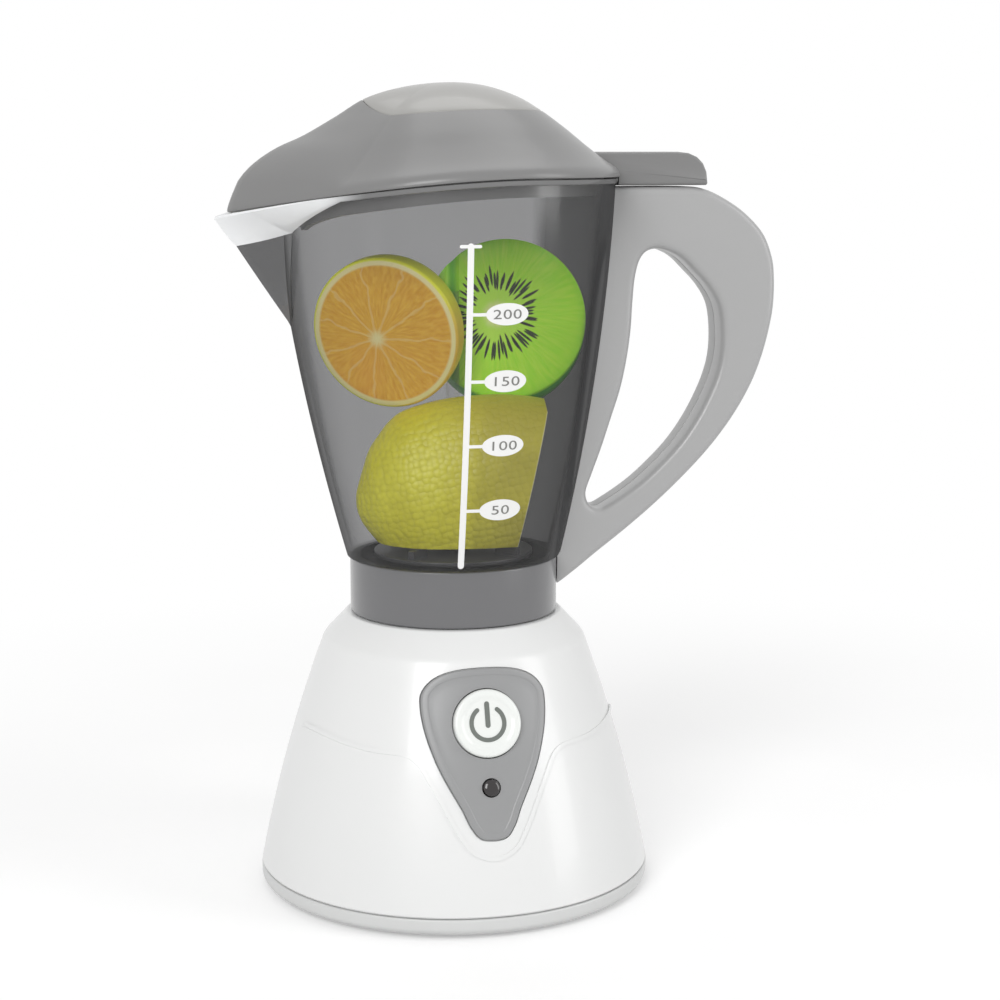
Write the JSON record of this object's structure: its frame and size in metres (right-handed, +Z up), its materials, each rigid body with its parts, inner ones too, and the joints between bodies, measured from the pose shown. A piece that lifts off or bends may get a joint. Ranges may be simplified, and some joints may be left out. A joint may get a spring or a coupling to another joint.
{
  "type": "toy blender",
  "caption": "Battery toy blender: tapered base with a power button, lift-off smoky jug with spout, handle and printed scale, lift-off lid, and toy fruit that turns on a geared rotor.",
  "frame": {"origin": "centre of the overall box in plan, at the underside of the feet", "axes": "+Z up along the jug axis, -Y towards the control panel, -X towards the spout, +X towards the handle"},
  "size_m": [0.1624, 0.114, 0.2316],
  "materials": {
    "white_plastic": "white moulded plastic, satin gloss",
    "band_plastic": "off-white moulded plastic",
    "rubber_feet": "dark rubber",
    "screw_steel": "plated steel screw",
    "cell_wrap": "printed shrink wrap, plain",
    "contact_steel": "nickel-plated spring steel",
    "gear_nylon": "natural nylon",
    "motor_steel": "zinc-plated steel can",
    "shaft_steel": "ground steel",
    "brass": "turned brass",
    "dark_plastic": "dark grey moulded plastic",
    "panel_plastic": "mid grey moulded plastic",
    "board_green": "green solder mask",
    "lens_black": "very dark red lens",
    "clear_plastic": "clear plastic",
    "lead_red": "red wire insulation",
    "lead_black": "black wire insulation",
    "collar_plastic": "dark grey smoky plastic",
    "smoke_plastic": "smoke-tinted clear plastic",
    "handle_plastic": "light grey moulded plastic",
    "lid_plastic": "grey moulded plastic",
    "crown_plastic": "polished light grey plastic",
    "orange": "printed toy orange half",
    "kiwi": "printed toy kiwi slice",
    "lemon": "toy lemon half with pitted peel"
  },
  "bodies": {
    "base": {"base_housing": "white_plastic", "base_plate": "band_plastic", "rubber_foot_1": "rubber_feet", "rubber_foot_2": "rubber_feet", "rubber_foot_3": "rubber_feet", "rubber_foot_4": "rubber_feet", "base_screw_1": "screw_steel", "base_screw_2": "screw_steel", "base_screw_3": "screw_steel", "base_screw_4": "screw_steel", "battery_front": "cell_wrap", "battery_back": "cell_wrap", "bridge_contact": "contact_steel", "terminal_front": "contact_steel", "terminal_back": "contact_steel", "spring_front": "contact_steel", "spring_back": "contact_steel", "gear_tray": "gear_nylon", "tray_screw_1": "screw_steel", "tray_screw_2": "screw_steel", "tray_screw_3": "screw_steel", "motor_can": "motor_steel", "compound_axle": "shaft_steel", "output_bush": "brass", "control_panel": "panel_plastic", "indicator_lens": "lens_black", "indicator_led": "clear_plastic", "circuit_board": "board_green", "push_switch": "dark_plastic", "board_screw_1": "screw_steel", "board_screw_2": "screw_steel", "battery_lead_red": "lead_red", "battery_lead_black": "lead_black", "motor_lead_red": "lead_red", "motor_lead_black": "lead_black"},
    "door": {"battery_door": "band_plastic", "door_screw": "screw_steel"},
    "motor_rotor": {"motor_shaft": "shaft_steel", "motor_pinion": "brass"},
    "compound": {"compound_gear": "gear_nylon"},
    "drive": {"output_gear": "gear_nylon", "output_shaft": "shaft_steel", "drive_dog": "dark_plastic"},
    "button": {"power_button": "white_plastic"},
    "jug": {"jug": "smoke_plastic", "jug_collar": "collar_plastic", "handle_front": "handle_plastic", "handle_back": "handle_plastic", "handle_screw_1": "screw_steel", "handle_screw_2": "screw_steel", "rotor_bush": "gear_nylon"},
    "rotor": {"rotor_shaft": "shaft_steel", "driven_dog": "dark_plastic", "rotor": "dark_plastic", "fruit_stem": "clear_plastic", "orange_half": "orange", "kiwi_slice": "kiwi", "lemon_half": "lemon"},
    "lid": {"lid": "lid_plastic", "lid_crown": "crown_plastic"}
  },
  "joints": [
    {"name": "jug_lift", "type": "slide", "parent": "base", "child": "jug", "axis": [0, 0, 1], "range_m": [0, 0.1]},
    {"name": "lid_lift", "type": "slide", "parent": "jug", "child": "lid", "axis": [0, 0, 1], "range_m": [0, 0.06]},
    {"name": "rotor_spin", "type": "hinge", "parent": "jug", "child": "rotor", "pos_m": [-0.014, 0, 0.095], "axis": [0, 0, 1], "continuous": true},
    {"name": "output_spin", "type": "hinge", "parent": "base", "child": "drive", "pos_m": [-0.014, 0, 0.06], "axis": [0, 0, 1], "continuous": true},
    {"name": "compound_spin", "type": "hinge", "parent": "base", "child": "compound", "pos_m": [-0.014, 0.0145, 0.06], "axis": [0, 0, 1], "continuous": true},
    {"name": "motor_spin", "type": "hinge", "parent": "base", "child": "motor_rotor", "pos_m": [-0.0001, 0.0145, 0.05], "axis": [0, 0, 1], "continuous": true},
    {"name": "button_press", "type": "slide", "parent": "base", "child": "button", "axis": [0, 0.9502, -0.3116], "range_m": [0, 0.0015], "stiffness_N_per_m": 600},
    {"name": "battery_door_swing", "type": "hinge", "parent": "base", "child": "door", "pos_m": [0.01305, 0, 0.0021], "axis": [0, -1, 0], "range_deg": [0, 50]}
  ],
  "couplings": [
    {"joint": "output_spin", "follows": "rotor_spin", "ratio": 1},
    {"joint": "compound_spin", "follows": "rotor_spin", "ratio": -3},
    {"joint": "motor_spin", "follows": "rotor_spin", "ratio": 10.8}
  ]
}
